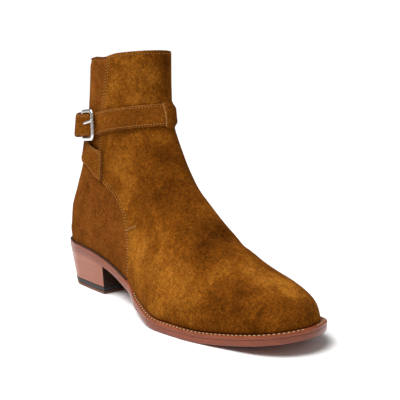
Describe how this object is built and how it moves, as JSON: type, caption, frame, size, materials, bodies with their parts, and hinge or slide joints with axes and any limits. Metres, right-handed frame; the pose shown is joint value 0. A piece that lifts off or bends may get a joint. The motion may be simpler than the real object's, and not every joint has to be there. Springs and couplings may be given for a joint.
{
  "type": "jodhpur boot",
  "caption": "suede ankle boot with a wrap-round strap and buckle, welted leather sole and stacked heel, right foot",
  "frame": {"origin": "middle of the boot's footprint, on the floor", "axes": "toe towards -Y, up +Z, inner (medial) side +X, outer side with the buckle -X"},
  "size_m": [0.1009, 0.2994, 0.2175],
  "materials": {
    "suede_tan": "brushed suede nap, soft and matt",
    "suede_strap": "brushed suede nap with cut edges",
    "leather_welt": "waxed edge, satin",
    "leather_sole": "burnished edge, satin",
    "leather_heel": "stacked and polished, glossy",
    "rubber_dark": "matt",
    "leather_lining": "smooth lining leather",
    "steel_polished": "polished"
  },
  "bodies": {
    "root": {"upper": "suede_tan", "outsole": "leather_sole", "welt": "leather_welt", "heel_stack": "leather_heel", "heel_rubber": "rubber_dark", "top_lift": "leather_sole", "insole": "leather_lining", "ankle_strap": "suede_strap", "back_strap": "suede_strap", "buckle_chape": "suede_strap", "buckle_frame": "steel_polished", "buckle_prong": "steel_polished", "keeper_loop": "suede_strap"}
  },
  "joints": []
}
